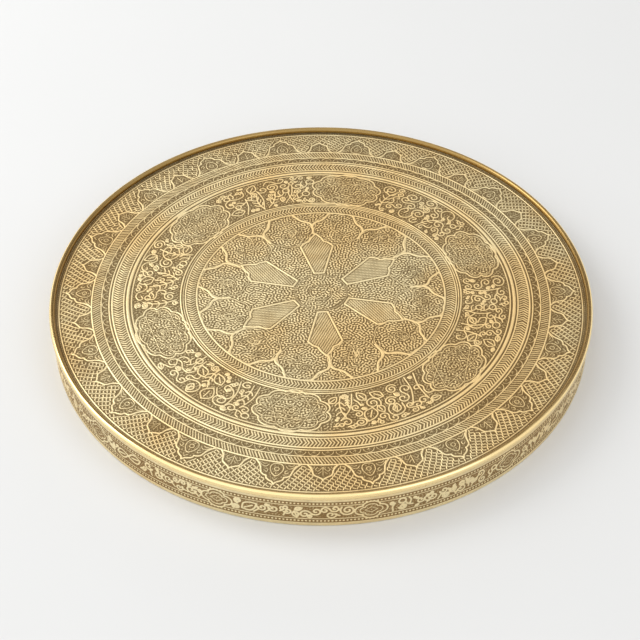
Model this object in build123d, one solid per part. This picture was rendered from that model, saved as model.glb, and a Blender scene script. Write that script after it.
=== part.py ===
from build123d import *
from build123d.topology import SkipClean
import os
from math import asin, cos, degrees, radians, sin, sqrt

# A round brass tray-table top. A chased sheet of brass has its edge turned up, a chased
# strip is bent round it as a deep apron, and a split bead closes over the two edges.
# Iron wires stiffen the bead and the apron's hem, and solder fills the corner below.
# Millimetres, +Z up. The origin is on the surface the apron stands on, at the centre.

# Overall sizes
tray_diameter = 600.0        # over the polished bead
tray_height = 48.0           # from the hem's lowest point to the bead's top
well_depth = 6.0             # from the bead's top down to the chased face

# The chased plate
plate_thickness = 1.4
plate_bend_radius = 0.8      # inside of the turned-up edge

# The bead, a drawn tube of upright oval section, slit along its underside
bead_width = 6.4
bead_depth = 8.0             # from its top to where it closes on the apron
bead_wall = 0.9
bead_overhang = 1.8          # how far the bead stands out past the apron's face
bead_lip_gap = 0.2           # between the bead's inner lip and the top of the plate's bend
bead_seam_angle = 3.0        # where the bead's ends meet, in degrees from +X
bead_seam_gap = 0.25

# The wire drawn into the bead, above the two sheet edges
core_wire_diameter = 2.4
core_wire_gap = 0.04         # left above and below so that the wire slides in

# The apron
apron_thickness = 1.2
foot_wire_diameter = 2.0
foot_wire_gap = 0.03
hem_turn = 262.0             # degrees that the hem turns round the foot wire
apron_seam_angle = 90.0      # where the strip's ends meet, in degrees from +X
apron_seam_gap = 0.3

# The strap and rivets that hold the apron's ends together, inside the apron
strap_thickness = 1.2
strap_width = 44.0           # round the apron
strap_rise = 8.0             # the strap's lower edge above the tray's foot
strap_top_gap = 6.4          # from the strap's upper edge up to the solder
strap_corner_radius = 3.0
rivet_diameter = 3.0
rivet_head_diameter = 5.4
rivet_head_height = 1.3
rivet_flush_diameter = 4.4   # the countersunk end, filed flush with the chased face
rivet_flush_depth = 0.6
rivet_rows = 2
rivet_columns = 2            # on each side of the seam
rivet_edge_distance = 6.0    # from a rivet to the strap's edge

# Soft solder run into the corner under the plate
solder_leg = 2.2             # down the apron, below the plate's underside
solder_land = 0.25           # the notch is left empty where it is narrower than this

# Places that follow from those
bead_round = bead_width / 2
bead_ring_radius = tray_diameter / 2 - bead_round
bead_middle = tray_height - bead_depth / 2
bead_roof = tray_height - bead_wall
apron_face = tray_diameter / 2 - bead_overhang
apron_inside = apron_face - apron_thickness
upstand_inside = apron_inside - plate_thickness
plate_top = tray_height - well_depth
plate_underside = plate_top - plate_thickness
strap_height = plate_underside - solder_leg - strap_top_gap - strap_rise
core_wire_height = bead_roof - core_wire_gap - core_wire_diameter / 2
edge_top = core_wire_height - core_wire_diameter / 2 - core_wire_gap
hem_radius = foot_wire_diameter / 2 + foot_wire_gap + apron_thickness
hem_ring_radius = apron_face - hem_radius
bend_outside = plate_bend_radius + plate_thickness
bend_centre = (apron_inside - bend_outside, plate_underside + bend_outside)
full_turn = 360.0
hoop_sectors = 60            # short sectors, so that each curved face keeps its volume when it is meshed


def spun(face, gap=0.0, at_angle=0.0, at_radius=1.0):
    """A face in the XZ plane turned about Z in sectors, short of a full turn by a seam's gap."""
    gap_angle = degrees(gap / at_radius)
    sector = (full_turn - gap_angle) / hoop_sectors
    first = revolve(face, Axis.Z, sector)
    turned = [Rot(0, 0, at_angle + gap_angle / 2 + sector * i) * first for i in range(hoop_sectors)]
    with SkipClean():
        return turned[0].fuse(*turned[1:])


def in_section(sketch):
    """A sketch drawn as radius and height, stood up in the XZ plane."""
    return Plane.XZ * sketch


def point_on(centre, radius, angle):
    return (centre[0] + radius * cos(radians(angle)), centre[1] + radius * sin(radians(angle)))


def tray_plate():
    """The chased disc and its turned-up edge, one sheet of even thickness."""
    with BuildSketch() as section:
        with BuildLine():
            Polyline((0, plate_top), (0, plate_underside), (bend_centre[0], plate_underside))
            JernArc((bend_centre[0], plate_underside), (1, 0), bend_outside, 90)
            Polyline((apron_inside, bend_centre[1]), (apron_inside, edge_top),
                     (upstand_inside, edge_top), (upstand_inside, bend_centre[1]))
            JernArc((upstand_inside, bend_centre[1]), (0, -1), plate_bend_radius, -90)
            Line((bend_centre[0], plate_top), (0, plate_top))
        make_face()
    return spun(in_section(section.sketch))


def rim_bead():
    """The split tube bent to a hoop. Its inner lip is trimmed to stand over the plate's bend."""
    outline = Rot(0, 0, 90) * SlotOverall(bead_depth, bead_width)
    hollow = Rot(0, 0, 90) * SlotOverall(bead_depth - 2 * bead_wall, bead_width - 2 * bead_wall)
    tube = Pos(bead_ring_radius, bead_middle) * (outline - hollow)
    bottom = tray_height - bead_depth
    slit_height = bead_middle - bottom
    slit = Pos((upstand_inside + apron_face) / 2, bottom + slit_height / 2) * Rectangle(
        apron_face - upstand_inside, slit_height)
    lip_height = bend_centre[1] + bead_lip_gap - bottom
    lip = Pos(upstand_inside - bead_width / 2, bottom + lip_height / 2) * Rectangle(bead_width, lip_height)
    section = tube - slit - lip
    return spun(in_section(section), bead_seam_gap, bead_seam_angle, bead_ring_radius)


def rim_core_wire():
    """The wire in the bead. It lies on the two sheet edges, under the bead's roof."""
    section = Pos(bead_ring_radius, core_wire_height) * Circle(core_wire_diameter / 2)
    return spun(in_section(section), bead_seam_gap, bead_seam_angle, bead_ring_radius)


def apron_strip():
    """The strip bent to a hoop, its lower edge turned inwards round the foot wire."""
    centre = (hem_ring_radius, hem_radius)
    wrap = hem_radius - apron_thickness
    hem_end = -hem_turn
    with BuildSketch() as section:
        with BuildLine():
            Polyline((apron_face, hem_radius), (apron_face, edge_top),
                     (apron_inside, edge_top), (apron_inside, hem_radius))
            CenterArc(centre, wrap, 0, hem_end)
            Line(point_on(centre, wrap, hem_end), point_on(centre, hem_radius, hem_end))
            CenterArc(centre, hem_radius, hem_end, hem_turn)
        make_face()
    return spun(in_section(section.sketch), apron_seam_gap, apron_seam_angle, apron_face)


def foot_wire():
    section = Pos(hem_ring_radius, hem_radius) * Circle(foot_wire_diameter / 2)
    return spun(in_section(section), apron_seam_gap, apron_seam_angle, apron_face)


def solder_fillet():
    """Solder between the plate's bend and the apron, hollow-faced as it sets."""
    cusp = degrees(asin((bend_outside - solder_land) / bend_outside))
    high = point_on(bend_centre, bend_outside, cusp - 90)
    low = point_on(bend_centre, bend_outside, -90)
    foot = (apron_inside, plate_underside - solder_leg)
    chord = sqrt((foot[0] - low[0]) ** 2 + (foot[1] - low[1]) ** 2)
    with BuildSketch() as section:
        with BuildLine():
            Polyline(foot, (apron_inside, high[1]), high)
            CenterArc(bend_centre, bend_outside, cusp - 90, -cusp)
            RadiusArc(low, foot, chord)
        make_face()
    return spun(in_section(section.sketch))


def rivet_places():
    """Angle about Z and height of each rivet, set evenly about the apron's seam."""
    low = strap_rise + rivet_edge_distance
    high = strap_rise + strap_height - rivet_edge_distance
    outer = strap_width / 2 - rivet_edge_distance
    inner = outer - 2 * rivet_edge_distance
    reach = [inner + (outer - inner) * i / (rivet_columns - 1) for i in range(rivet_columns)]
    for side in (-1, 1):
        for along in reach:
            angle = apron_seam_angle + side * degrees(along / apron_inside)
            for row in range(rivet_rows):
                yield angle, low + (high - low) * row / (rivet_rows - 1)


def rivet():
    """One rivet along +X: countersunk end flush with the chased face, domed head inside."""
    strap_inside = apron_inside - strap_thickness
    dome_radius = (rivet_head_diameter ** 2 / 4 + rivet_head_height ** 2) / (2 * rivet_head_height)
    with BuildSketch() as section:
        with BuildLine():
            Line((strap_inside, 0), (strap_inside - rivet_head_height, 0))
            RadiusArc((strap_inside - rivet_head_height, 0),
                      (strap_inside, rivet_head_diameter / 2), dome_radius)
            Polyline((strap_inside, rivet_head_diameter / 2), (strap_inside, rivet_diameter / 2),
                     (apron_face - rivet_flush_depth, rivet_diameter / 2),
                     (apron_face, rivet_flush_diameter / 2), (apron_face, 0), (strap_inside, 0))
        make_face()
    turned = revolve(section.sketch, Axis.X)
    return turned & Cylinder(apron_face, rivet_head_diameter)


def rivets():
    one = rivet()
    return [Rot(0, 0, angle) * Pos(0, 0, height) * one for angle, height in rivet_places()]


def seam_strap():
    """The curved strap behind the butted ends of the apron."""
    shell = Cylinder(apron_inside, strap_height) - Cylinder(apron_inside - strap_thickness, strap_height)
    blank = Plane.YZ * RectangleRounded(strap_width, strap_height, strap_corner_radius)
    block = extrude(blank, tray_diameter)
    return Rot(0, 0, apron_seam_angle) * Pos(0, 0, strap_rise + strap_height / 2) * (shell & block)


def main():
    os.makedirs("parts", exist_ok=True)
    rivet_set = rivets()
    pieces = {
        "tray_plate": tray_plate(),
        "rim_bead": rim_bead(),
        "rim_core_wire": rim_core_wire(),
        "apron": apron_strip() - rivet_set,
        "foot_wire": foot_wire(),
        "solder_fillet": solder_fillet(),
        "seam_strap": seam_strap() - rivet_set,
        "seam_rivets": Compound(children=rivet_set),
    }
    for name, shape in pieces.items():
        export_step(shape, f"parts/{name}.step")
        solids = shape.solids()
        size = shape.bounding_box().size
        print(f"{name}: {len(solids)} solid(s), {size.X:.1f} x {size.Y:.1f} x {size.Z:.1f} mm")


main()
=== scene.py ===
# %% [markdown]
# # A chased brass tray top
# The object is a round tray-table top: a disc of brass covered in chased line work, a polished bead
# round its edge, and a deep apron with a running frieze. Its sizes and its hidden parts come from the
# CAD model, and this lesson gives it the chased surface, the patina and the light.

# %% Load the frame
from math import acos, ceil, cos, degrees, floor, hypot, pi, radians, sin, tau

import bpy
import numpy as np
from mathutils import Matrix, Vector


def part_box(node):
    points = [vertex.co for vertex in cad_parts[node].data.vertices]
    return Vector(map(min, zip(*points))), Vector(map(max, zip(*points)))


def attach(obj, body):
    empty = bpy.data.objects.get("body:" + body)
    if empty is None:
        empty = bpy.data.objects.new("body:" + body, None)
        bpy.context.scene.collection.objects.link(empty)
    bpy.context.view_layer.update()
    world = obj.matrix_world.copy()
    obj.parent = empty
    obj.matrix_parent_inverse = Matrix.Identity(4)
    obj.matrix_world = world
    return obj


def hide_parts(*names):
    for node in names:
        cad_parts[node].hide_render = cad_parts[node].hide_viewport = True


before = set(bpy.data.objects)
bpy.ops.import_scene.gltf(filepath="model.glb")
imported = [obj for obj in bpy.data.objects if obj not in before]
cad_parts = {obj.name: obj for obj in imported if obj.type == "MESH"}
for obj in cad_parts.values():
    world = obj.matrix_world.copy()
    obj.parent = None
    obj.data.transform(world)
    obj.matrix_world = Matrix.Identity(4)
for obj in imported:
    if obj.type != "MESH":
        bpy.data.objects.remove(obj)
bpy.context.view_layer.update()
mm = 0.001
print("nodes:", sorted(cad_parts))

# %% [markdown]
# The main sizes come from the frame: the plate's underside and edge, the bead's circle and the
# apron's wall. Only the thickness of the two sheets is given here. All are kept in millimetres,
# because a chaser's punches are a millimetre or two wide.

# %% Sizes read from the frame
plate_low, plate_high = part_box("tray_plate")
bead_low, bead_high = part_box("rim_bead")
apron_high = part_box("apron")[1]
underside = plate_low.z / mm
sheet = 1.4                                     # the plate's thickness
face = underside + sheet
plate_edge = plate_high.x / mm
bead_outside = bead_high.x / mm
bead_top = bead_high.z / mm
bead_foot = bead_low.z / mm
wall = apron_high.x / mm
strip = 1.2                                     # the apron's thickness
print(f"face at {face:.1f} mm, edge at {plate_edge:.1f} mm, apron wall at {wall:.1f} mm")

# %% [markdown]
# The camera is a long lens held high in front of the tray, so that the round top is seen as a calm
# ellipse and the apron shows only along the front. The aim point lies a little in front of the middle.

# %% Camera
tilt = radians(43.59)
distance = 1.7005
aim = Vector((-0.0011, -0.0451, face * mm))
bpy.ops.object.select_all(action="DESELECT")
bpy.ops.object.camera_add(location=aim + distance * Vector((0, -cos(tilt), sin(tilt))))
camera = bpy.context.object
camera.name = "long_lens"
camera.rotation_euler = (pi / 2 - tilt, 0, 0)
camera.data.lens = 87.6
camera.data.clip_end = 50
bpy.context.scene.camera = camera
print("camera at", [round(c, 3) for c in camera.location])

# %% [markdown]
# A relief is kept as a sheet of numbers, one for every half millimetre or less: how high the metal
# stands there. A chaser works the same way. The line is left standing and the ground beside it is
# driven down with matting punches. Each line is drawn from point to point, and where two lines
# cross the higher one wins, so crossings stay clean. Lines in a bump map would look flat from the
# side, so these will become real shapes in the mesh.

# %% The sheet that the punches work on
far_away = 9.0                                  # millimetres, more than any gap that matters


class Relief:
    """Heights on a flat rectangle of metal, 0 in the ground and 1 on a raised line."""

    def __init__(self, low, high, pitch):
        self.low, self.pitch = low, pitch
        self.columns = round((high[0] - low[0]) / pitch)
        self.rows = round((high[1] - low[1]) / pitch)
        self.x = low[0] + (np.arange(self.columns) + 0.5) * pitch
        self.y = low[1] + (np.arange(self.rows) + 0.5) * pitch
        self.line = np.zeros((self.rows, self.columns))
        self.room = np.full((self.rows, self.columns), far_away)

    def cells(self, left, right, bottom, top):
        """The grid's columns and rows that a rectangle covers, wrapping round at the sides."""
        first, last = floor((left - self.low[0]) / self.pitch), ceil((right - self.low[0]) / self.pitch)
        low = max(floor((bottom - self.low[1]) / self.pitch), 0)
        high = min(ceil((top - self.low[1]) / self.pitch), self.rows)
        columns, rows = np.arange(first, last), np.arange(low, high)
        x = self.low[0] + (columns + 0.5) * self.pitch
        y = self.low[1] + (rows + 0.5) * self.pitch
        return np.ix_(rows, columns % self.columns), x, y[:, None]

    def raise_line(self, points, width, height=1.0, closed=False, moat=1.0):
        """A round-backed line through the points, with a clear moat beside it."""
        if closed:
            points = [*points, points[0]]
        reach = width / 2 + moat
        for (ax, ay), (bx, by) in zip(points, points[1:]):
            place, x, y = self.cells(min(ax, bx) - reach, max(ax, bx) + reach,
                                     min(ay, by) - reach, max(ay, by) + reach)
            dx, dy = bx - ax, by - ay
            along = np.clip(((x - ax) * dx + (y - ay) * dy) / max(dx * dx + dy * dy, 1e-9), 0, 1)
            gap = np.hypot(x - ax - along * dx, y - ay - along * dy) - width / 2
            self.line[place] = np.maximum(self.line[place], height * crown(gap, width))
            self.room[place] = np.minimum(self.room[place], gap)

    def room_at(self, points):
        """How far each point is from the nearest line that is already there."""
        rows = [min(int((y - self.low[1]) / self.pitch), self.rows - 1) for _, y in points]
        columns = [int((x - self.low[0]) / self.pitch) % self.columns for x, _ in points]
        return self.room[rows, columns]

    def inside(self, points):
        """True where the closed outline holds a cell."""
        held = np.zeros((self.rows, self.columns), bool)
        xs, ys = [p[0] for p in points], [p[1] for p in points]
        place, x, y = self.cells(min(xs), max(xs), min(ys), max(ys))
        odd = np.zeros(np.broadcast(x, y).shape, bool)
        for (ax, ay), (bx, by) in zip(points, [*points[1:], points[0]]):
            if ay != by:
                odd ^= ((ay > y) != (by > y)) & (x < (bx - ax) * (y - ay) / (by - ay) + ax)
        held[place] = odd
        return held

    def read(self, field, x, y):
        """A field's value between the cells, at any place."""
        u = (x - self.low[0]) / self.pitch - 0.5
        v = np.clip((y - self.low[1]) / self.pitch - 0.5, 0, self.rows - 1.001)
        i, j = np.floor(u).astype(int), np.floor(v).astype(int)
        u, v = u - i, v - j
        i, k = i % self.columns, (i + 1) % self.columns
        top = field[j, i] * (1 - u) + field[j, k] * u
        return top * (1 - v) + (field[j + 1, i] * (1 - u) + field[j + 1, k] * u) * v


def crown(gap, width):
    """A line's rounded back: full in its middle and falling to nothing at its edges."""
    rise = np.clip(-gap / (0.42 * width), 0, 1)
    return rise * (2 - rise)


def eased(values, low, high):
    """0 below low, 1 above high and a smooth step between."""
    t = np.clip((values - low) / (high - low), 0, 1)
    return t * t * (3 - 2 * t)


top_relief = Relief((-299.0, -299.0), (299.0, 299.0), 0.4)
print("plate relief:", top_relief.columns, "by", top_relief.rows)

# %% [markdown]
# Most of the pattern runs round the tray, so its lines are drawn as if the rim were straight: so far
# along, so far out from a ring. Small helpers bend such a drawing round to its place, round off a
# coarse outline, mirror half an outline and draw a circle.

# %% Helpers for drawing round a ring
def on_plate(angle, radius):
    """A point of the plate, at an angle and a distance from the middle."""
    return radius * cos(radians(angle)), radius * sin(radians(angle))


def bent(points, angle, ring):
    """Points as (along, out) from a ring, bent round the plate at an angle."""
    return [on_plate(angle - degrees(along / (ring + 10)), ring + out) for along, out in points]


def draw_round(points, angle, ring, width, height, **more):
    """Raises a line on the plate, drawn as (along, out) from a ring at an angle."""
    top_relief.raise_line(bent(points, angle, ring), width, height, **more)


def rounded(points, steps=4, closed=False):
    """A smooth line through the points."""
    p = np.array(points, float)
    p = np.vstack([p[-1], p, p[:2]]) if closed else np.vstack([2 * p[0] - p[1], p, 2 * p[-1] - p[-2]])
    t = np.arange(steps)[:, None] / steps
    runs = []
    for a, b, c, d in zip(p, p[1:], p[2:], p[3:]):
        runs.append(0.5 * (2 * b + (c - a) * t + (2 * a - 5 * b + 4 * c - d) * t ** 2
                           + (3 * b - a - 3 * c + d) * t ** 3))
    runs = np.vstack(runs)
    return [tuple(q) for q in (runs if closed else np.vstack([runs, p[-2]]))]


def mirrored(points):
    """The right half of an outline, from foot to tip, with its left half added."""
    return [*points, *[(-x, y) for x, y in points[-2::-1]]]


def round_line(centre, radius, start=0.0, turn=360.0, steps=16):
    """A circle or a part of one."""
    return [(centre[0] + radius * cos(radians(start + turn * i / steps)),
             centre[1] + radius * sin(radians(start + turn * i / steps))) for i in range(steps + 1)]


print("a quarter round the plate:", [round(c) for c in on_plate(90, plate_edge)])

# %% [markdown]
# The field is divided by plain raised rings. Between them run two chevron bands, a band of fine
# slanting strokes and a band of small fans. A ring is drawn all at once from each cell's distance
# to the middle, which is quicker and truer than a line of short strokes.

# %% Plain rings
from_middle = np.hypot(top_relief.x, top_relief.y[:, None])
plain_rings = [(138.0, 2.8), (150.5, 1.8), (153.0, 1.5), (155.8, 2.2), (209.9, 2.2), (214.4, 4.4),
               (218.5, 1.9), (231.3, 2.6), (234.7, 2.1), (243.4, 1.8), (253.9, 2.4), (289.4, 1.9)]
for ring, width in plain_rings:
    gap = np.abs(from_middle - ring) - width / 2
    top_relief.line = np.maximum(top_relief.line, 0.95 * crown(gap, width))
    top_relief.room = np.minimum(top_relief.room, gap)
print(len(plain_rings), "rings")

# %% [markdown]
# The bands are struck by hand with one punch each, blow after blow, so no two blows fall quite
# alike. A little random turn and depth on every stroke keeps that, and a fixed seed keeps it the same
# each time.

# %% Chevrons, slanting strokes and fans
hand = np.random.default_rng(11)


def chevrons(low, high, count, lean, width):
    """Pairs of strokes that meet in the band's middle."""
    middle = (low + high) / 2
    for k in range(count):
        angle = 360 * k / count + hand.normal(0, 0.05)
        shift = degrees(lean / middle)
        points = [on_plate(angle, low), on_plate(angle + shift, middle), on_plate(angle, high)]
        top_relief.raise_line(points, width, 0.8 + 0.15 * hand.random(), moat=0.5)


def slants(low, high, count, lean, width):
    """Single strokes that lean along a band."""
    for k in range(count):
        angle = 360 * k / count + hand.normal(0, 0.04)
        shift = degrees(lean / low)
        top_relief.raise_line([on_plate(angle, low), on_plate(angle + shift, high)], width,
                              0.78 + 0.2 * hand.random(), moat=0.5)


def fans(low, high, count):
    """Half-rounds with three ribs, standing on a ring."""
    for k in range(count):
        angle = 360 * (k + 0.5) / count
        reach = high - low
        draw_round(round_line((0, 0), reach, 8, 164, 8), angle, low, 1.2, 0.85)
        for rib in (-42, 0, 42):
            tip = (0.62 * reach * sin(radians(rib)), 0.62 * reach * cos(radians(rib)))
            draw_round([(0, 0.4), tip], angle, low, 1.0, 0.7, moat=0.5)


chevrons(140.4, 148.8, 252, 2.8, 1.9)
chevrons(220.2, 229.4, 384, 3.2, 2.0)
slants(245.0, 252.2, 460, 4.6, 1.75)
fans(236.0, 242.0, 108)
print("four bands of strokes drawn")

# %% [markdown]
# Between the plain rings near the edge stands a row of pointed palmettes, large and small by turns,
# on a ground like woven cane. Each size is drawn once, as half an outline that is mirrored, because
# the real ones are laid out from one pattern too. The large ones hold a flower and the small a sprig.

# %% Palmettes
large_leaf = mirrored([*rounded([(23.4, 0), (19.8, 3.4), (17.0, 7.6), (15.8, 11.2)]),
                       *rounded([(15.8, 11.2), (14.4, 15.2), (11.4, 17.6), (8.6, 18.2)]),
                       *rounded([(8.6, 18.2), (7.8, 21.6), (4.6, 24.0), (1.8, 25.4), (0, 28.4)])])
small_leaf = mirrored([*rounded([(15.6, 0), (13.2, 2.6), (10.8, 6.4), (10.0, 10.4)]),
                       *rounded([(10.0, 10.4), (8.4, 13.2), (6.0, 14.6)]),
                       *rounded([(6.0, 14.6), (3.4, 16.2), (1.4, 17.4), (0, 19.8)])])
palmette_ring = 254.6
large_start, small_start = 0.4, 10.4            # the angles of the first palmette of each size
flower = rounded([(-6.6, 5.8), (-5.4, 12.0), (0, 17.6), (5.4, 12.0), (6.6, 5.8), (3.6, 1.8), (-3.6, 1.8)],
                 closed=True)
side_leaf = rounded([(19.5, 1.6), (15.6, 5.6), (11.5, 6.6), (8.6, 3.4)])
inner_leaf = rounded([(17.4, 1.6), (14.2, 3.4), (11.0, 2.4)])
shoulder_curl = rounded([(12.6, 11.6), (9.4, 13.6), (8.8, 10.4), (11.0, 9.2)])
palmettes = []
for k in range(18):
    for angle, outline in ((20 * k + large_start, large_leaf), (20 * k + small_start, small_leaf)):
        palmettes.append(bent(outline, angle, palmette_ring))
        top_relief.raise_line(palmettes[-1], 2.3, 1.0)
    angle = 20 * k + large_start
    draw_round(flower, angle, palmette_ring, 1.4, 0.9, closed=True)
    draw_round(round_line((0, 8.4), 2.5, steps=8), angle, palmette_ring, 1.2, 0.9)
    draw_round([(0, 12.4), (0, 15.0)], angle, palmette_ring, 1.2, 0.8)
    draw_round([(-2.6, 19.6), (0, 23.4), (2.6, 19.6)], angle, palmette_ring, 1.2, 0.8)
    for side in (-1, 1):
        for curl in (side_leaf, inner_leaf, shoulder_curl):
            draw_round([(side * x, y) for x, y in curl], angle, palmette_ring, 1.3, 0.85)
    angle = 20 * k + small_start
    draw_round([(0, 2.0), (0, 13.4)], angle, palmette_ring, 1.2, 0.85)
    for side in (-1, 1):
        sprig = rounded([(side * 1.0, 3.4), (side * 4.6, 7.6), (side * 7.4, 5.4), (side * 5.2, 2.6)])
        draw_round(sprig, angle, palmette_ring, 1.2, 0.8)
        draw_round([(side * 1.4, 8.2), (side * 4.6, 11.2)], angle, palmette_ring, 1.2, 0.8)
        root = rounded([(side * 12.4, 1.4), (side * 9.6, 4.4), (side * 8.4, 1.4)])
        draw_round(root, angle, palmette_ring, 1.1, 0.7)
print(len(palmettes), "palmettes")

# %% [markdown]
# The ground behind them looks woven. It is only short bars, struck by turns one way and the other,
# and left out wherever a palmette or a ring is in the way. A row of small strokes closes the field.

# %% Woven ground between the palmettes
in_leaf = np.zeros_like(top_relief.line, bool)
for outline in palmettes:
    in_leaf |= top_relief.inside(outline)
weave_rows, weave_count, weave_low, weave_step, half_bar = 10, 504, 257.4, 3.2, 1.45
bars = 0
for row in range(weave_rows):
    for k in range(weave_count):
        radius = weave_low + weave_step * row
        angle = 360 / weave_count * (k + 0.35 * row) + hand.normal(0, 0.03)
        x, y = on_plate(angle, radius)
        place, *_ = top_relief.cells(x, x + top_relief.pitch, y, y + top_relief.pitch)
        if in_leaf[place].any() or (top_relief.room[place] < 0.7).any():
            continue
        slope = radians(angle) + (1.15 if (k + row) % 2 else -0.35) + hand.normal(0, 0.06)
        dx, dy = half_bar * cos(slope), half_bar * sin(slope)
        top_relief.raise_line([(x - dx, y - dy), (x + dx, y + dy)], 1.6, 0.85 + 0.2 * hand.random(), moat=0.3)
        bars += 1
edge_ring, edge_strokes = 291.6, 560
for k in range(edge_strokes):
    start, end = 360 / edge_strokes * k, 360 / edge_strokes * (k + 0.5)
    top_relief.raise_line([on_plate(start, edge_ring), on_plate(end, edge_ring)], 1.3, 0.6, moat=0.4)
print(bars, "bars of weave")

# %% [markdown]
# The broad band carries six lobed medallions, each with a double outline and lines that cross
# inside it. A chaser lays them out with compasses, so they are drawn here from circles and chords.

# %% Medallions of the broad band
def lobed(width, height, lobes, depth, phase=0.0, steps=96):
    """An oval outline with round lobes."""
    points = []
    for i in range(steps):
        t = tau * i / steps
        swell = 1 - depth * (1 - abs(sin(lobes * t / 2 + phase)) ** 0.7)
        points.append((width / 2 * swell * cos(t), height / 2 * swell * sin(t)))
    return points


band_ring = 182.5
medallion_angles = [20.5 + 60 * k for k in range(6)]
medallions = []
for angle in medallion_angles:
    outline = bent(lobed(87, 59, 10, 0.12), angle, band_ring)
    medallions.append(outline)
    top_relief.raise_line(outline, 2.3, 1.0, closed=True)
    draw_round(lobed(79, 51, 10, 0.13), angle, band_ring, 1.5, 0.9, closed=True)
    for turn in range(10):
        a, b = radians(36 * turn), radians(36 * turn + 108)
        chord = [(36 * cos(a), 23 * sin(a)), (36 * cos(b), 23 * sin(b))]
        draw_round(chord, angle, band_ring, 1.2, 0.85)
    draw_round(lobed(19, 14, 10, 0.2), angle, band_ring, 1.2, 0.85, closed=True)
    draw_round(round_line((0, 0), 2.6, steps=8), angle, band_ring, 1.4, 0.9)
print(len(medallions), "medallions")

# %% [markdown]
# Between the medallions real trays often carry a band of writing. This one has foliage only: eight
# small figures, each drawn once as a few lines and set at random places, sizes and leans. Large ones
# go in first and the smallest last, where there is still bare ground, as a chaser fills a field.

# %% Ferns, tendrils and leaves
def spiral(turns, reach, start=0.0, steps=14):
    """A tendril's end, wound in on itself, with its outside at the origin."""
    points = []
    for i in range(steps + 1):
        angle, radius = start + turns * 360 * i / steps, reach * (1 - 0.82 * i / steps)
        points.append((radius * cos(radians(angle)) - reach * cos(radians(start)),
                       radius * sin(radians(angle)) - reach * sin(radians(start))))
    return points


def figure(kind, tall):
    """One leaf, sprig or tendril, drawn upright from its foot, as a list of lines."""
    if kind == "fern":
        stem = [(0, 0), (tall * 0.08, tall * 0.35), (tall * 0.05, tall * 0.7), (-tall * 0.06, tall)]
        leaflets = []
        for share in (0.28, 0.5, 0.72):
            x, y = tall * 0.07, tall * share
            leaflets.append([(x, y), (x + 2.6, y + 1.4), (x + 4.2, y + 3.8)])
            leaflets.append([(x, y), (x - 2.4, y + 1.8), (x - 3.4, y + 4.2)])
        return [rounded(stem), *[rounded(leaflet, 3) for leaflet in leaflets]]
    if kind == "fiddlehead":
        top = [(x, tall - 5 + y) for x, y in spiral(1.2, 4.4, 180)]
        return [[*rounded([(-2, 0), (1.5, tall * 0.4), (0.4, tall - 5)])[:-1], *top]]
    if kind == "tendril":
        return [spiral(1.7, 6.2, 250, 20)]
    if kind == "leaf":
        side = rounded([(0, 0), (4.2, 4.4), (3.6, 9.4), (0, 14.0)])
        return [side, [(-x, y) for x, y in side], [(0, 2.6), (0.4, 9.6)]]
    if kind == "wave":
        crest = [(-11, 1), (-7.6, 6.2), (-2, 5.4), (2.6, 1.2), (8, 1.8), (10.4, 6.6), (7.2, 9), (5.2, 6.4)]
        return [rounded(crest)]
    if kind == "double":
        coil = spiral(1.25, 4.6, 180)
        return [coil, [(-x, -y) for x, y in coil]]
    if kind == "crescent":
        return [rounded([(8, 11), (0, 13), (-6, 8), (-5, 2), (1, -1), (8, 1), (6, 5), (1, 4.4)])]
    stalk, leaflet = [(0, 0), (1.2, 4), (0, 8)], [(0, 3), (-4, 5), (-5, 8)]
    return [rounded(stalk), round_line((0, 11), 3.0, steps=10), rounded(leaflet)]


kinds = ["fern", "fiddlehead", "tendril", "leaf", "wave", "double", "crescent", "bud"]
upright = ("fern", "fiddlehead")


def leaning(points, angle):
    """Points turned about their foot."""
    c, s = cos(radians(angle)), sin(radians(angle))
    return [(c * x - s * y, s * x + c * y) for x, y in points]


def foliage(relief, place, left, right, height, width, tries, seed):
    """Fills a panel with figures, each set where it mostly has the ground to itself."""
    draw = np.random.default_rng(seed)
    drawn, filling_tries = 0, 600
    for attempt in range(tries + filling_tries):
        kind = kinds[draw.integers(len(kinds))]
        along, out, flip = draw.uniform(left, right), draw.uniform(0.5, height - 2), draw.choice([-1, 1])
        early, late = attempt < tries / 3, attempt >= tries
        size = draw.uniform(*((1.0, 1.45) if early else (0.35, 0.6) if late else (0.55, 1.0)))
        tall = height * draw.uniform(0.5, 0.9) / size * (0.4 if late else 1.0)
        lean = draw.normal(0, 16) if kind in upright else draw.uniform(0, 360)
        if kind in upright and not late:
            out = draw.uniform(0.5, 4.0)
        runs = [[(along + size * flip * x, out + size * y) for x, y in leaning(run, lean)]
                for run in figure(kind, tall)]
        every = [p for run in runs for p in run]
        if min(p[0] for p in every) < left or max(p[0] for p in every) > right:
            continue
        if min(p[1] for p in every) < 0.4 or max(p[1] for p in every) > height - 0.4:
            continue
        runs = [place(run) for run in runs]
        if np.mean(relief.room_at([p for run in runs for p in run]) < 0.6) > 0.12:
            continue
        for run in runs:
            relief.raise_line(run, width, 0.92 + 0.08 * draw.random(), moat=1.2)
        drawn += 1
    return drawn


band_foot, half_panel, panel_height = 158.0, 53, 50.6
count = 0
for k, angle in enumerate(medallion_angles):
    middle = angle + 30
    count += foliage(top_relief, lambda points: bent(points, middle, band_foot), -half_panel, half_panel,
                     panel_height, 2.1, 1500, 40 + k)
print(count, "figures in the band")

# %% [markdown]
# The middle holds a flower of six long panels, hatched with fine lines, in front of twelve lobed
# rosettes. Bold ogee straps tie the rosettes to the ring. The panels lie on top, so a rosette's
# outline is drawn bit by bit and stops where a panel or the ring begins.

# %% The middle: panels, rosettes and straps
def at(angle, points):
    """Points as (along, out) from the plate's middle, out along an angle."""
    c, s = cos(radians(angle)), sin(radians(angle))
    return [(out * c + along * s, out * s - along * c) for along, out in points]


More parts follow.
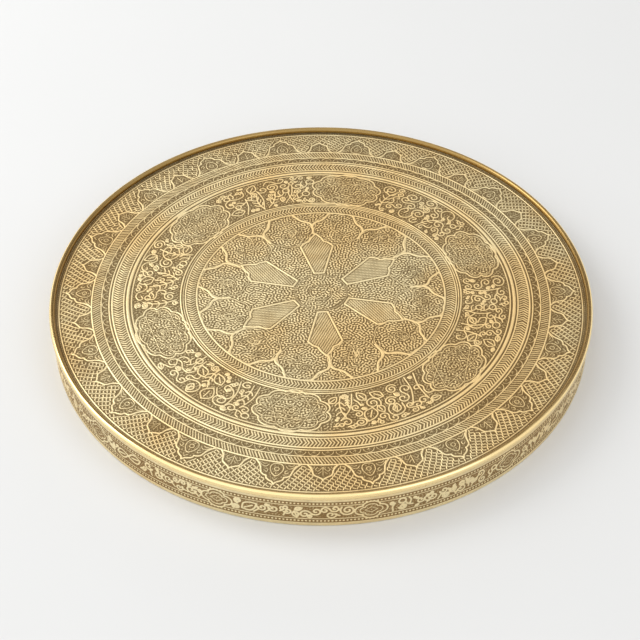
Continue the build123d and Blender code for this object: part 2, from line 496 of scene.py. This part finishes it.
panel_angles = [33.5 + 60 * k for k in range(6)]
panel = mirrored([(5.4, 32.0), (18.6, 78.0), (13.6, 84.0), (8.4, 86.6), (6.0, 92.4), (0, 100.5)])
panels = [at(angle, panel) for angle in panel_angles]
in_panel = np.zeros_like(in_leaf)
for outline in panels:
    top_relief.raise_line(outline, 3.0, 1.0, closed=True)
    in_panel |= top_relief.inside(outline)
middle_edge = 137.5                             # under the back of the first plain ring
rosette_count, rosette_ring = 12, 110.5
strap_right = rounded([(0, 114.5), (3.0, 120.0), (9.5, 123.0), (14.5, 126.5), (21.5, 135.6)])
for k in range(rosette_count):
    centre = at(20 + 30 * k, [(0, rosette_ring)])[0]
    outline = [(centre[0] + x, centre[1] + y) for x, y in lobed(56, 56, 8, 0.09, 0.35 * k)]
    for a, b in zip(outline, [*outline[1:], outline[0]]):
        i = int((a[1] - top_relief.low[1]) / top_relief.pitch)
        j = int((a[0] - top_relief.low[0]) / top_relief.pitch)
        if not in_panel[i, j] and hypot(*a) < middle_edge:
            top_relief.raise_line([a, b], 1.7, 0.8)
    for side in (-1, 1):
        top_relief.raise_line(at(5 + 30 * k, [(side * x, y) for x, y in strap_right]), 3.6, 1.0)
    top_relief.raise_line(at(5 + 30 * k, [(0, 101.0), (0, 115.5)]), 3.0, 1.0)
    # three or five figures of foliage in every rosette
    draw = np.random.default_rng(90 + k)
    for _ in range(5 if k % 2 else 3):
        kind = kinds[draw.integers(len(kinds))]
        dx, dy, lean = draw.uniform(-12, 12), draw.uniform(-12, 12), draw.uniform(0, 360)
        for run in figure(kind, 20):
            points = [(centre[0] + dx + x, centre[1] + dy + y) for x, y in leaning(run, lean)]
            points = [p for p in points if hypot(p[0] - centre[0], p[1] - centre[1]) < 23]
            if len(points) > 1:
                top_relief.raise_line(points, 1.4, 0.8)
for radius in (29.0, 12.0):
    top_relief.raise_line(round_line((0, 0), radius, steps=48), 1.3, 0.75)
print(len(panels), "panels,", rosette_count, "rosettes")

# %% [markdown]
# The ground between the figures is matted with a tangle of tiny scrolls. It is made as filtered
# noise: only ripples of one width are kept, which leaves crooked lines that never quite repeat.

# %% Tangled ground
def tangle(rows, columns, pitch, width, seed):
    """A maze of crooked lines of one width, from 0 to 1."""
    noise = np.random.default_rng(seed).standard_normal((rows, columns))
    waves = np.hypot(np.fft.rfftfreq(columns, pitch), np.fft.fftfreq(rows, pitch)[:, None])
    kept = np.fft.rfft2(noise) * np.exp(-((waves * width - 1) / 0.2) ** 2)
    maze = np.fft.irfft2(kept, s=(rows, columns))
    return np.clip(0.5 + 0.7 * maze / maze.std(), 0, 1)


maze = tangle(top_relief.rows, top_relief.columns, top_relief.pitch, 3.3, 5)
in_medallion = np.zeros_like(in_leaf)
for outline in medallions:
    in_medallion |= top_relief.inside(outline)
share = np.zeros_like(top_relief.line)
share[(from_middle > 157) & (from_middle < 209.5)] = 0.56
share[from_middle < middle_edge] = 0.84
share[in_leaf] = 0.5
share[in_medallion] = 0.78
clear = eased(top_relief.room, 0.1, 0.8)
ground = share * maze * clear
hatch = np.zeros_like(ground)
for angle, outline in zip(panel_angles, panels):
    here = top_relief.inside(outline)
    slope = radians(angle + 62)
    across = np.cos(tau * (top_relief.x * cos(slope) + top_relief.y[:, None] * sin(slope)) / 2.7)
    along = np.cos(tau * (top_relief.x * sin(slope) - top_relief.y[:, None] * cos(slope)) / 3.9)
    hatch[here] = (0.52 + 0.32 * across * (0.6 + 0.4 * along))[here]
ground = np.where(in_panel, hatch * clear, ground)
top_relief.height = np.maximum(top_relief.line, ground)
print("mean height", round(float(top_relief.height[from_middle < 290].mean()), 3))

# %% [markdown]
# Now the sheet itself. The plate is made as a nest of rings, because a fine ring can follow the
# raised lines with even steps from its inside to its outside. Each one starts as a flat grid that is
# rolled round to the ring's own section: the chased face, two edges and the underside.

# %% Rings of sheet from a grid
lift = 0.78                                    # millimetres from the ground to the top of a line
sink = 0.42                                    # how far the ground lies below the plain face


def finished(piece, name, material, node, angle=40):
    """Names a piece, shades it and tells the frame what it stands for."""
    piece.name = name
    piece.data.name = name
    piece.data.materials.clear()
    piece.data.materials.append(material)
    bpy.ops.object.select_all(action="DESELECT")
    piece.select_set(True)
    bpy.context.view_layer.objects.active = piece
    bpy.ops.object.transform_apply(location=True, rotation=True, scale=True)
    bpy.ops.object.shade_smooth_by_angle(angle=radians(angle))
    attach(piece, "root")
    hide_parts(node)
    return piece


def hoop(section, columns):
    """A flat grid with a row for each point of the section and a column for each step round."""
    bpy.ops.object.select_all(action="DESELECT")
    bpy.ops.mesh.primitive_grid_add(x_subdivisions=columns, y_subdivisions=len(section), size=1)
    return bpy.context.object, len(section)


def set_places(piece, places, raised):
    """Rolls the grid to its places, in millimetres by (column, point), and merges its closed edges."""
    rolled = np.pad(places, ((0, 1), (0, 1), (0, 0)), mode="wrap").swapaxes(0, 1)
    marks = np.pad(raised, ((0, 1), (0, 1)), mode="wrap").swapaxes(0, 1)
    piece.data.vertices.foreach_set("co", (rolled * mm).astype(np.float32).ravel())
    mark = piece.data.attributes.new("chased", "FLOAT", "POINT")
    mark.data.foreach_set("value", marks.astype(np.float32).ravel())
    bpy.ops.object.mode_set(mode="EDIT")
    bpy.ops.mesh.select_all(action="SELECT")
    bpy.ops.mesh.remove_doubles(threshold=0.002 * mm)
    bpy.ops.object.mode_set(mode="OBJECT")


print(f"relief: {lift} mm high, from {sink} mm below the face")

# %% [markdown]
# The finishes come next. Real brass is bright only where hands and polish reach. The raised lines
# are pale gold, the matted ground keeps a brown tarnish, and the whole sheet has clouds of dull and
# clean metal. Two shared groups give those effects, and each finish sets its own strength.

# %% Helpers for shader nodes
def feed(tree, socket, value):
    """Sets a socket, or links it when the value comes from another node."""
    if isinstance(value, bpy.types.NodeSocket):
        tree.links.new(value, socket)
    else:
        socket.default_value = value


def add(tree, kind, **settings):
    """A node with its own settings by name, and its inputs by socket name in a dict called put."""
    put = settings.pop("put", {})
    made = tree.nodes.new(kind)
    for name, value in settings.items():
        setattr(made, name, value)
    for name, value in put.items():
        feed(tree, made.inputs[name], value)
    return made


def group(name, takes, gives):
    """An empty node group with its inputs and outputs."""
    tree = bpy.data.node_groups.new(name, "ShaderNodeTree")
    for title, (kind, value) in takes.items():
        tree.interface.new_socket(title, in_out="INPUT", socket_type=kind).default_value = value
    for title, kind in gives.items():
        tree.interface.new_socket(title, in_out="OUTPUT", socket_type=kind)
    return tree, add(tree, "NodeGroupInput"), add(tree, "NodeGroupOutput")


def ramp(tree, value, low, high, to_low=0.0, to_high=1.0):
    """A value taken from one range smoothly to another."""
    made = add(tree, "ShaderNodeMapRange", interpolation_type="SMOOTHSTEP",
               put={"Value": value, "From Min": low, "From Max": high, "To Min": to_low, "To Max": to_high})
    return made.outputs["Result"]


def noise(tree, place, scale, detail=4.0, rough=0.55):
    """Soft clouds, finer with a larger scale."""
    made = add(tree, "ShaderNodeTexNoise", put={"Vector": place, "Scale": scale, "Detail": detail,
                                                "Roughness": rough})
    return made.outputs["Fac"]


def mixed(tree, amount, first, second, blend="MIX"):
    """Two colours mixed by an amount."""
    made = add(tree, "ShaderNodeMix", data_type="RGBA", blend_type=blend)
    for number, value in ((0, amount), (6, first), (7, second)):
        feed(tree, made.inputs[number], value)
    return made.outputs[2]


def combined(tree, operation, first, second):
    """Two values added, subtracted or multiplied."""
    made = add(tree, "ShaderNodeMath", operation=operation)
    for socket, value in zip(made.inputs, (first, second)):
        feed(tree, socket, value)
    return made.outputs[0]


FLOAT, COLOUR, VECTOR = "NodeSocketFloat", "NodeSocketColor", "NodeSocketVector"
print("socket kinds:", FLOAT, COLOUR, VECTOR)

# %% Group: tarnish
tarnish, into, out = group("tarnish",
                           {"Place": (VECTOR, (0, 0, 0)), "Raised": (FLOAT, 0.5),
                            "Ground": (COLOUR, (0.15, 0.09, 0.04, 1)), "Metal": (COLOUR, (0.8, 0.6, 0.3, 1)),
                            "Cloud": (FLOAT, 0.3)},
                           {"Colour": COLOUR, "Clean": FLOAT, "Dull": FLOAT})
place, raised = into.outputs["Place"], into.outputs["Raised"]
cloud = noise(tarnish, place, 7.0, 5.0, 0.6)
fleck = noise(tarnish, place, 420.0, 3.0, 0.7)
patch = noise(tarnish, place, 46.0, 4.0, 0.6)
patchy = combined(tarnish, "MULTIPLY", combined(tarnish, "SUBTRACT", patch, 0.5), 0.35)
shifted = combined(tarnish, "ADD", raised, patchy)
clean = ramp(tarnish, shifted, 0.22, 0.82)
two_tone = mixed(tarnish, clean, into.outputs["Ground"], into.outputs["Metal"])
clouded = combined(tarnish, "MULTIPLY", ramp(tarnish, cloud, 0.36, 0.66), into.outputs["Cloud"])
browned = mixed(tarnish, clouded, two_tone, (0.90, 0.71, 0.46, 1), "MULTIPLY")
flecks = ramp(tarnish, fleck, 0.60, 0.74, 0.0, 0.45)
flecked = mixed(tarnish, flecks, browned, (0.45, 0.30, 0.20, 1), "MULTIPLY")
tarnish.links.new(flecked, out.inputs["Colour"])
tarnish.links.new(clean, out.inputs["Clean"])
tarnish.links.new(clouded, out.inputs["Dull"])
print("tarnish group:", len(tarnish.nodes), "nodes")

# %% [markdown]
# Years of wiping leave fine scratches that run a few ways, and old sheet is never quite flat. Noise
# stretched along one axis gives the scratches, and plain noise the ripple.

# %% Group: rubbed and scratched surface
rubbed, into, out = group("rubbed",
                          {"Place": (VECTOR, (0, 0, 0)), "Scratches": (FLOAT, 0.5), "Ripple": (FLOAT, 0.5)},
                          {"Height": FLOAT, "Haze": FLOAT})
place = into.outputs["Place"]
scratch_sum = 0.0
for turn, scale in ((0.3, 60.0), (1.5, 75.0), (2.4, 52.0)):
    turned = add(rubbed, "ShaderNodeMapping", put={"Vector": place, "Rotation": (0.1, 0.2, turn),
                                                   "Scale": (1.0, 26.0, 26.0)})
    lines = ramp(rubbed, noise(rubbed, turned.outputs["Vector"], scale, 2.0, 0.5), 0.66, 0.74)
    scratch_sum = combined(rubbed, "ADD", lines, scratch_sum)
scratch = combined(rubbed, "MULTIPLY", scratch_sum, into.outputs["Scratches"])
ripple = combined(rubbed, "MULTIPLY", noise(rubbed, place, 140.0, 3.0, 0.5), into.outputs["Ripple"])
scored = combined(rubbed, "SUBTRACT", ripple, combined(rubbed, "MULTIPLY", scratch, 0.25))
rubbed.links.new(scored, out.inputs["Height"])
rubbed.links.new(ramp(rubbed, scratch_sum, 0.0, 1.2), out.inputs["Haze"])
print("rubbed group:", len(rubbed.nodes), "nodes")

# %% [markdown]
# A brass finish is the same recipe each time: the tarnish group gives its colour and the rubbed
# group its fine relief. The raised lines are smoother than the ground, so they catch the light.

# %% Brass finishes
def brass(name, metal, ground, raised=None, cloud=0.3, shine=0.3, dull=0.5, scratches=0.4, ripple=0.4):
    """A worn brass. shine is the roughness of clean metal and dull that of the tarnish."""
    material = bpy.data.materials.new(name)
    material.use_nodes = True
    tree = material.node_tree
    shader = tree.nodes["Principled BSDF"]
    place = add(tree, "ShaderNodeTexCoord").outputs["Object"]
    if raised is None:
        height = noise(tree, place, 30.0, 4.0, 0.6)
        height = ramp(tree, height, 0.3, 0.7, 0.45, 1.0)
    else:
        height = add(tree, "ShaderNodeAttribute", attribute_name=raised).outputs["Fac"]
    toned = add(tree, "ShaderNodeGroup", node_tree=tarnish, put={"Place": place, "Raised": height,
                                                                 "Ground": ground, "Metal": metal,
                                                                 "Cloud": cloud})
    worn = add(tree, "ShaderNodeGroup", node_tree=rubbed, put={"Place": place, "Scratches": scratches,
                                                               "Ripple": ripple})
    rough = ramp(tree, toned.outputs["Clean"], 0.0, 1.0, dull, shine)
    rough = combined(tree, "ADD", rough, combined(tree, "MULTIPLY", worn.outputs["Haze"], 0.12))
    rough = combined(tree, "ADD", rough, combined(tree, "MULTIPLY", toned.outputs["Dull"], 0.2))
    bump = add(tree, "ShaderNodeBump", put={"Height": worn.outputs["Height"], "Strength": 0.6,
                                            "Distance": 0.06 * mm})
    tree.links.new(toned.outputs["Colour"], shader.inputs["Base Color"])
    tree.links.new(rough, shader.inputs["Roughness"])
    tree.links.new(bump.outputs["Normal"], shader.inputs["Normal"])
    shader.inputs["Metallic"].default_value = 1.0
    return material


chased_brass = brass("chased_plate_brass", (0.95, 0.82, 0.50, 1), (0.25, 0.185, 0.09, 1), "chased",
                     cloud=0.6, shine=0.50, dull=0.60)
# the bead's ground colour is the brown of the painted dark reflection and shade on its crown and inside
bead_brass = brass("polished_bead_brass", (0.97, 0.77, 0.40, 1), (0.34, 0.225, 0.08, 1), "chased",
                   cloud=0.2, shine=0.15, dull=0.24, scratches=0.3, ripple=0.25)
apron_brass = brass("chased_apron_brass", (1.0, 0.86, 0.53, 1), (0.32, 0.21, 0.09, 1), "chased",
                    cloud=0.3, shine=0.32, dull=0.55)
strap_metal = brass("strap_brass", (0.60, 0.43, 0.18, 1), (0.25, 0.16, 0.07, 1),
                    cloud=0.5, shine=0.38, dull=0.6)
rivet_metal = brass("rivet_brass", (0.72, 0.52, 0.24, 1), (0.35, 0.22, 0.10, 1),
                    cloud=0.3, shine=0.30, dull=0.5)
solder_metal = brass("soft_solder_grey", (0.42, 0.42, 0.41, 1), (0.20, 0.20, 0.19, 1),
                     cloud=0.4, shine=0.42, dull=0.62, scratches=0.1, ripple=1.0)
wire_metal = brass("iron_wire_grey", (0.22, 0.20, 0.19, 1), (0.12, 0.07, 0.045, 1),
                   cloud=0.5, shine=0.45, dull=0.7, scratches=0.2, ripple=0.8)
print([material.name for material in bpy.data.materials if material.use_nodes])

# %% [markdown]
# The plate's rings are made now, from the middle outwards. They meet on plain raised rings where
# they can, so that no join crosses the figures.

# %% The plate
step = 0.78                                     # between neighbouring points of the mesh
bend_inside, bend_outer = 0.8, 2.2              # the two radii of the bend up to the edge
bend_middle = plate_edge - bend_outer
edge_top = plate_high.z / mm
# each ring's inside, its outside and the radius at which its columns are one step apart
plate_spans = [(1.0, 20.0, 20.0), (20.0, 45.0, 45.0), (45.0, 92.0, 138.3), (92.0, 138.3, 138.3),
               (138.3, 155.6, 158.0), (155.6, 183.0, 210.4), (183.0, 210.4, 210.4), (210.4, 231.2, 231.2),
               (231.2, 253.6, 253.6), (253.6, 275.0, 292.0)]


def arc(centre, radius, start, end, steps):
    """Points round an arc, from one angle to another."""
    return [(centre[0] + radius * cos(radians(start + (end - start) * i / steps)),
             centre[1] + radius * sin(radians(start + (end - start) * i / steps))) for i in range(steps + 1)]


def plate_piece(name, low, high, finest, before=(), after=()):
    """A ring of the plate. before and after are section points ahead of the chased face and behind it."""
    columns = int(round(tau * finest / step / 12)) * 12
    radii = np.linspace(high, low, int(round((high - low) / step)) + 1)
    angles = tau * np.arange(columns) / columns
    piece, points = hoop([*before, *radii, *after], columns)
    across, along = np.cos(angles)[:, None], np.sin(angles)[:, None]
    raised = top_relief.read(top_relief.height, across * radii, along * radii)
    plain = eased(radii, 292.6, 294.4)           # the face runs out smooth under the bead
    offset = (lift * raised - sink) * (1 - plain)
    chased = np.stack([across * radii, along * radii, face + offset], -1)

    def round_the_axis(section):
        r, z = np.array(section).T
        return np.stack([across * r, along * r, np.broadcast_to(z, (columns, len(r)))], -1)

    parts = [round_the_axis(before)] if before else []
    parts += [chased, round_the_axis(after)]
    marks = np.full((columns, points), 0.75)
    marks[:, len(before):len(before) + len(radii)] = raised * (1 - plain) + 0.8 * plain
    set_places(piece, np.concatenate(parts, 1), marks)
    return finished(piece, name, chased_brass, "tray_plate", 50)


plate_pieces = []
for number, (low, high, finest) in enumerate(plate_spans):
    plate_pieces.append(plate_piece(f"chased_plate_{number:02d}", low, high, finest,
                                    after=[(low, underside), (high, underside)]))
upstand = [(bend_middle, underside), *arc((bend_middle, underside + bend_outer), bend_outer, -75, 0, 5),
           (plate_edge, edge_top), (plate_edge - sheet, edge_top),
           *arc((bend_middle, underside + bend_outer), bend_inside, 0, -75, 4)]
edge_low = plate_spans[-1][1]
plate_pieces.append(plate_piece("chased_plate_edge", edge_low, bend_middle, 292.0, before=upstand,
                                after=[(edge_low, underside)]))
for piece in plate_pieces:
    print(piece.name, len(piece.data.polygons) * 2, "triangles")

# %% [markdown]
# A chaser sets one leg of the compasses in the plate's middle for every ring, and the mark stays.
# Here a short cylinder closes the innermost ring, and its top is inset twice to make the small pit.

# %% The punch mark at the plate's middle
bpy.ops.object.select_all(action="DESELECT")
bpy.ops.mesh.primitive_cylinder_add(vertices=24, radius=1.0 * mm, depth=(face - sink - underside) * mm,
                                    location=(0, 0, (face - sink + underside) / 2 * mm))
pit = bpy.context.object
bpy.ops.object.mode_set(mode="EDIT")
bpy.ops.mesh.select_all(action="DESELECT")
bpy.ops.object.mode_set(mode="OBJECT")
for polygon in pit.data.polygons:
    polygon.select = polygon.normal.z > 0.9
bpy.ops.object.mode_set(mode="EDIT")
bpy.ops.mesh.select_mode(type="FACE")
bpy.ops.mesh.inset(thickness=0.35 * mm, depth=-0.1 * mm)
bpy.ops.mesh.inset(thickness=0.3 * mm, depth=-0.25 * mm)
bpy.ops.object.mode_set(mode="OBJECT")
mark = pit.data.attributes.new("chased", "FLOAT", "POINT")
mark.data.foreach_set("value", np.full(len(pit.data.vertices), 0.5, np.float32))
finished(pit, "centre_punch_mark", chased_brass, "tray_plate", 30)
print("punch mark:", len(pit.data.polygons), "faces")

# %% [markdown]
# The bead is a drawn tube of upright oval section, slit below and closed over the edges. Its ends
# butt on the right-hand side, where a hair line shows. The tube's section is open, as the real one
# is, and the hair line is one narrow groove pulled into the metal. A swept circle would be quicker,
# but it would be solid where the real one grips the two sheets.

# %% The bead
bead_round, bead_wall = 3.2, 0.9
bead_ring = bead_outside - bead_round
arch_height, heel_height = bead_top - bead_round, bead_foot + 2.88   # centres of the two arcs
lip_height = underside + 2.4
heel_turn = degrees(acos((wall - bead_ring) / bead_round))
inner_turn = degrees(acos((wall - bead_ring) / (bead_round - bead_wall)))
bead_section = [*arc((bead_ring, heel_height), bead_round, -heel_turn, 0, 7),
                *arc((bead_ring, arch_height), bead_round, 0, 180, 22),
                (bead_ring - bead_round, lip_height), (bead_ring - bead_round + bead_wall, lip_height),
                *arc((bead_ring, arch_height), bead_round - bead_wall, 180, 0, 12),
                *arc((bead_ring, heel_height), bead_round - bead_wall, 0, -inner_turn, 4)]


def seamed_angles(columns, seam, half_width, radius):
    """Even angles, with the ones beside a seam drawn in close to it."""
    angles = seam + np.arange(columns) * 360 / columns
    width = degrees(half_width / radius)
    angles[1], angles[-1] = seam + width, seam + 360 - width
    return np.radians(angles)


def round_hoop(section, columns, seam, groove, radius, painted_shade_and_wear_marks):
    """A plain hoop of a section, with one groove across it. The last argument sets how bright each point is,
    from wear and from painted shade.
    """
    piece, points = hoop(section, columns)
    angles = seamed_angles(columns, seam, 0.16, radius)
    r, z = np.array(section).T
    r = np.broadcast_to(r, (columns, points)).copy()
    z = np.broadcast_to(z, (columns, points)).copy()
    middle = np.array(section).mean(0)
    r[0] += groove * (middle[0] - r[0]) / np.hypot(r[0] - middle[0], z[0] - middle[1])
    z[0] += groove * (middle[1] - z[0]) / np.hypot(r[0] - middle[0], z[0] - middle[1])
    places = np.stack([np.cos(angles)[:, None] * r, np.sin(angles)[:, None] * r, z], -1)
    set_places(piece, places, np.broadcast_to(painted_shade_and_wear_marks, (columns, points)))
    return piece


# the outside is left bright; the crown and the inside are darker, a painted dark reflection and shade, with
# some tarnish on the inside
bead_painted_shade_and_wear = [0.95 if r > bead_ring + 1.0 else 0.40 if r > bead_ring - 0.6 else 0.16 for r, z in bead_section]
bead = round_hoop(bead_section, 900, 3.0, 0.35, bead_outside, bead_painted_shade_and_wear)
finished(bead, "polished_bead", bead_brass, "rim_bead", 40)
print("bead:", len(bead.data.polygons) * 2, "triangles")

# %% [markdown]
# The apron is chased flat, before it is bent to a hoop, so its sheet of heights is a long strip:
# along it runs the distance round the tray and up it the height above the foot. Two rows of round
# bosses border a frieze of twelve cartouches with running foliage between them.

# %% The apron's strip of pattern
around = tau * wall
apron_relief = Relief((0.0, 0.0), (around, 46.0), around / 3744)
height_of = np.broadcast_to(apron_relief.y[:, None], apron_relief.line.shape)
for height, width in ((5.3, 1.2), (11.6, 1.4), (31.0, 1.4), (37.2, 1.3)):
    gap = np.abs(height_of - height) - width / 2
    apron_relief.line = np.maximum(apron_relief.line, 0.9 * crown(gap, width))
    apron_relief.room = np.minimum(apron_relief.room, gap)
bosses = 500
for k in range(bosses):
    along = around * k / bosses
    for row in (8.45, 34.1):
        apron_relief.raise_line([(along, row), (along, row)], 3.2, 1.0, moat=0.6)
frieze_low, frieze_middle, frieze_high = 11.6, 21.3, 31.0
cartouches, half_cartouche = 12, 16.5
for k in range(cartouches):
    middle = around * (9.6 + 30 * k) / 360
    for width, height, line_width in ((33, 25.0, 2.4), (23, 17.0, 1.6)):
        shape = lobed(width, height, 4, 0.27, pi / 2, steps=64)
        outline = [(middle + x, frieze_middle + y) for x, y in shape]
        if width > 30:
            under = apron_relief.inside(outline)
            apron_relief.line[under], apron_relief.room[under] = 0, far_away
        apron_relief.raise_line(outline, line_width, 1.0, closed=True, moat=1.4)
    diamond = [(middle + x, frieze_middle + y) for x, y in ((6.4, 0), (0, 3.968), (-6.4, 0), (0, -3.968))]
    apron_relief.raise_line(diamond, 1.3, 0.95, closed=True)
    apron_relief.raise_line([(middle, frieze_middle), (middle, frieze_middle)], 2.2, 1.0)
    foliage(apron_relief, lambda points: [(x, frieze_low + 0.9 + y) for x, y in points],
            middle + half_cartouche, middle + around / cartouches - half_cartouche, 18.4, 2.7, 1100, 700 + k)
strip_maze = tangle(apron_relief.rows, apron_relief.columns, apron_relief.pitch, 3.0, 8)
strip_share = np.where((height_of > frieze_low) & (height_of < frieze_high), 0.5, 0.0)
strip_clear = eased(apron_relief.room, 0.0, 0.7)
strip_ground = strip_share * strip_maze * strip_clear
strip_ground = np.where((height_of < 5.3) | (height_of > 37.2), 0.66, strip_ground)
apron_relief.height = np.maximum(apron_relief.line, strip_ground)
print(cartouches, "cartouches and", 2 * bosses, "bosses")

# %% [markdown]
# The strip is bent round and its ends butt at the back. Its foot is turned in round a wire to a hem.
# Here it is two bands of mesh, one above the other, to keep each light. Eight rivets hold the joint
# to a strap behind it, and the metal is hammered flat over each of them.

# %% The apron
apron_lift, apron_sink = 0.60, 0.36             # as for the plate, a little shallower
plain_from = 39.0                               # the bead covers the apron's smooth top
hem_radius = 2.23
hem_centre = (wall - hem_radius, hem_radius)
hem_turn = 262
apron_top = apron_high.z / mm
join = 18.0
seam = 90.0
rivet_low, rivet_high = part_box("seam_rivets")
head_radius = 2.7
rivet_heights = (rivet_low.z / mm + head_radius, rivet_high.z / mm - head_radius)
rivet_angles = (86.91, 89.23, 90.77, 93.09)


def apron_hoop(name, columns, heights, before, after):
    """A band of the apron. heights run up its outer face, before and after are the rest of its section."""
    angles = seamed_angles(columns, seam, 0.2, wall)
    piece, points = hoop([*before, *heights, *after], columns)
    along = (angles / tau * around)[:, None]
    heights = np.asarray(heights)
    spread = np.broadcast_to(heights, (columns, len(heights)))
    raised = apron_relief.read(apron_relief.height, along, spread)
    radius = wall + apron_lift * raised - apron_sink
    for height in rivet_heights:
        for angle in rivet_angles:
            away = np.hypot(along - around * (angle % 360) / 360, heights - height)
            once_round = np.hypot(along - around * (angle + 360) / 360, heights - height)
            radius = np.where(np.minimum(away, once_round) < head_radius + 0.3, wall - 0.06, radius)
    radius = np.where(heights > plain_from, wall, radius)
    radius[0] -= 0.45                           # the hair line where the ends meet
    parts = []
    for section in (before, None, after):
        if section is None:
            parts.append((radius, np.broadcast_to(heights, radius.shape)))
        elif len(section):
            r, z = np.array(section).T
            parts.append((np.broadcast_to(r, (columns, len(r))), np.broadcast_to(z, (columns, len(z)))))
    r = np.concatenate([p[0] for p in parts], 1)
    z = np.concatenate([p[1] for p in parts], 1)
    marks = np.full(r.shape, 0.7)
    marks[:, len(before):len(before) + len(heights)] = raised
    places = np.stack([np.cos(angles)[:, None] * r, np.sin(angles)[:, None] * r, z], -1)
    set_places(piece, places, marks)
    return finished(piece, name, apron_brass, "apron", 50)


inside = wall - strip
hem_out = arc(hem_centre, hem_radius, -hem_turn, 0, 10)[:-1]
hem_in = arc(hem_centre, hem_radius - strip, 0, -hem_turn, 7)
lower_heights = np.linspace(hem_radius, join, 21)
upper_heights = np.append(np.linspace(join, 39.4, 28), [40.2, apron_top])
bands = [("chased_apron_lower", lower_heights, hem_out, [(inside, join), *hem_in]),
         ("chased_apron_upper", upper_heights, [], [(inside, apron_top), (inside, join)])]
for name, heights, before, after in bands:
    piece = apron_hoop(name, 2340, heights, before, after)
    print(piece.name, len(piece.data.polygons) * 2, "triangles")

# %% [markdown]
# The wires, the solder, the strap and its rivets keep the shapes that the CAD model gives them.
# They sit inside or underneath, and need only their finishes.

# %% Parts kept from the CAD model
kept = {"rim_core_wire": wire_metal, "foot_wire": wire_metal, "solder_fillet": solder_metal,
        "seam_strap": strap_metal, "seam_rivets": rivet_metal}
for name, material in kept.items():
    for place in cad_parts[name].material_slots:
        place.material = material
print("kept:", ", ".join(kept))

# %% [markdown]
# The stage is a plain floor with a barely cloudy paint. It is rough, so it takes the tray's soft
# shadow and mirrors nothing.

# %% Floor
bpy.ops.object.select_all(action="DESELECT")
bpy.ops.mesh.primitive_plane_add(size=14)
stage_floor = bpy.context.object
stage_floor.name = "pale_floor"
floor_paint = bpy.data.materials.new("pale_floor_paint")
floor_paint.use_nodes = True
floor_shader = floor_paint.node_tree.nodes["Principled BSDF"]
floor_place = add(floor_paint.node_tree, "ShaderNodeTexCoord").outputs["Object"]
floor_tone = mixed(floor_paint.node_tree, noise(floor_paint.node_tree, floor_place, 3.0),
                   (0.64, 0.645, 0.64, 1), (0.66, 0.665, 0.66, 1))
floor_paint.node_tree.links.new(floor_tone, floor_shader.inputs["Base Color"])
floor_shader.inputs["Roughness"].default_value = 0.75
floor_shader.inputs["Specular IOR Level"].default_value = 0.2
stage_floor.data.materials.append(floor_paint)

# %% [markdown]
# Polished metal shows what stands round it. So the pale sky is brighter on the left than on the
# right, and a dark bar hangs high at the back for the bead to mirror. Two large soft discs, a key
# and a weak fill, bring out the relief.

# %% Sky and lights
world = bpy.data.worlds.new("pale_studio")
bpy.context.scene.world = world
world.use_nodes = True
sky = world.node_tree
backdrop = sky.nodes["Background"]
direction = add(sky, "ShaderNodeTexCoord").outputs["Generated"]
side, away, up = add(sky, "ShaderNodeSeparateXYZ", put={"Vector": direction}).outputs
dark_bar = combined(sky, "MULTIPLY", ramp(sky, up, 0.36, 0.46), ramp(sky, up, 0.78, 0.70))
dark_bar = combined(sky, "MULTIPLY", dark_bar, ramp(sky, away, 0.1, 0.35))
open_sky = mixed(sky, ramp(sky, side, -0.9, 0.9), (1.08, 1.08, 1.08, 1), (0.80, 0.80, 0.81, 1))
sky_colour = mixed(sky, dark_bar, open_sky, (0.22, 0.18, 0.14, 1))
sky.links.new(sky_colour, backdrop.inputs["Color"])
backdrop.inputs["Strength"].default_value = 1.27


def soft_light(name, place, size, power):
    """A round lamp that faces the tray."""
    bpy.ops.object.select_all(action="DESELECT")
    bpy.ops.object.light_add(type="AREA", location=place)
    light = bpy.context.object
    light.name = name
    light.data.shape = "DISK"
    light.data.size = size
    light.data.energy = power
    light.rotation_euler = (Vector((0, 0, 0.03)) - Vector(place)).to_track_quat("-Z", "Y").to_euler()
    print(name, "at", place)


soft_light("key_light", (-1.7, 0.7, 1.7), 1.5, 24)
soft_light("fill_light", (1.4, -1.6, 1.8), 1.8, 8)
bpy.context.scene.view_settings.view_transform = "Standard"
